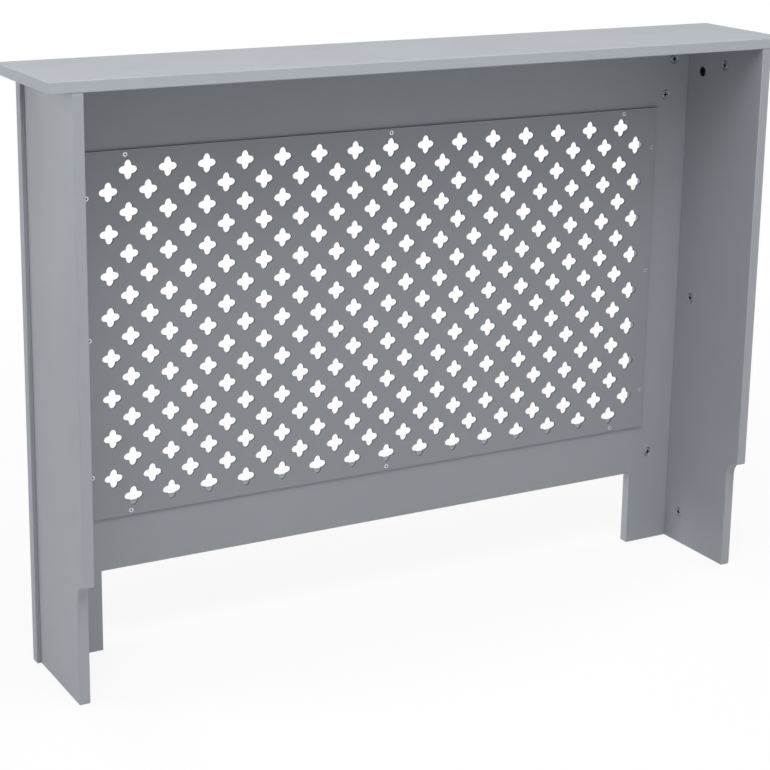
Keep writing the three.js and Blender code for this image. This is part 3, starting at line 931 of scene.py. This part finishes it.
def make_world():
    """A white surround that lights the object only as strongly as WORLD_FILL."""
    world = bpy.data.worlds.new("surround")
    world.use_nodes = True
    tree = world.node_tree
    strength = spread(tree, seen_directly(tree), (WORLD_FILL, 1.0), WHOLE_SPAN)
    set_inputs(tree, tree.nodes["Background"], {"Color": grey(1.0), "Strength": strength})
    bpy.context.scene.world = world


def make_lamp(name, place, aim, size, power):
    """A square soft box at `place` that faces `aim`."""
    light = bpy.data.lights.new(name, "AREA")
    light.shape = "SQUARE"
    light.size = size
    light.energy = power
    lamp = bpy.data.objects.new(name, light)
    lamp.location = place
    toward = Vector(aim) - Vector(place)
    lamp.rotation_euler = toward.to_track_quat("-Z", "Y").to_euler()
    bpy.context.scene.collection.objects.link(lamp)


def make_camera():
    """The camera, about where the photo was taken from."""
    data = bpy.data.cameras.new("camera")
    data.lens = CAMERA_LENS
    data.sensor_width = CAMERA_SENSOR
    data.shift_x, data.shift_y = CAMERA_SHIFT
    camera = bpy.data.objects.new("camera", data)
    camera.location = CAMERA_PLACE
    turn = Matrix.Rotation(math.radians(CAMERA_AZIMUTH), 4, "Z")
    tip = Matrix.Rotation(math.radians(90 - CAMERA_ELEVATION), 4, "X")
    roll = Matrix.Rotation(math.radians(CAMERA_ROLL), 4, "Z")
    camera.rotation_euler = (turn @ tip @ roll).to_euler()
    bpy.context.scene.collection.objects.link(camera)
    bpy.context.scene.camera = camera


# ---- The whole cover ----
make_camera()
make_floor()
make_world()
make_lamp("back_softbox", place=(0.9, 1.7, 2.9), aim=(0, 0.1, 0.6), size=2.4, power=44)
make_lamp("top_softbox", place=(0, 0.7, 3.3), aim=(0, 0, 0.6), size=2.4, power=48)
make_lamp("low_back_softbox", place=(0.3, 3.8, 1.5), aim=(0, 0, 0.45), size=2.4, power=14)
make_lamp("right_softbox", place=(3.2, -1.3, 1.3), aim=(0, 0, 0.45), size=2.0, power=40)
make_lamp("left_softbox", place=(-3.4, -0.2, 1.3), aim=(0, 0, 0.45), size=2.0, power=45)
make_lamp("front_softbox", place=(0.5, -3.6, 0.55), aim=(0, 0, 0.45), size=1.0, power=55)

# The shelf's paint is the boards' paint with paler edges, which paint light on the shelf's edges.
shelf_paint = paint("shelf_paint_with_painted_light", BASE["painted_board"], SHELF_EDGE_LIGHT)
board_paint = paint("painted_board", BASE["painted_board"], BOARD_EDGE_LIGHT)
# The sheet's dark edges paint shade along its top edge and in its holes.
sheet_paint = paint("painted_sheet", BASE["painted_sheet"], SHEET_EDGE_SHADE)
zinc = cast_zinc("cast_zinc", BASE["zinc_cam"])
# one cam's zinc is made nearly black
dark_zinc = cast_zinc("nearly_black_zinc", [channel * NEARLY_BLACK_TONE for channel in BASE["zinc_cam"]])
steel = plated("plated_steel", BASE["plated_steel"])
beech = beech_wood("beech", BASE["beech"])

for cam_node in nodes_named("cam_lock_"):
    joint = cam_node.removeprefix("cam_lock_")
    cam_middle = make_cam(joint, dark_zinc if joint == NEARLY_BLACK_CAM else zinc)
    make_bolt(joint, cam_middle, steel)
for dowel_node in nodes_named("dowel_"):
    make_dowel(dowel_node, beech)
sheet_front = box_of("lattice_panel")[0][1]
screw_places = [make_screw(node, sheet_front, steel) for node in nodes_named("screw_")]
make_lattice(sheet_paint, np.array(screw_places))

make_board("top_shelf", RIGHT, BACK, SHELF_ROUND, shelf_paint)
for board_node in ("left_stile", "right_stile", "top_rail", "bottom_rail"):
    make_board(board_node, RIGHT, UP, FRAME_ROUND, board_paint)
for board_node in ("left_side_panel", "right_side_panel"):
    make_board(board_node, BACK, UP, SIDE_ROUND, board_paint)

bpy.context.scene.view_settings.view_transform = "Standard"
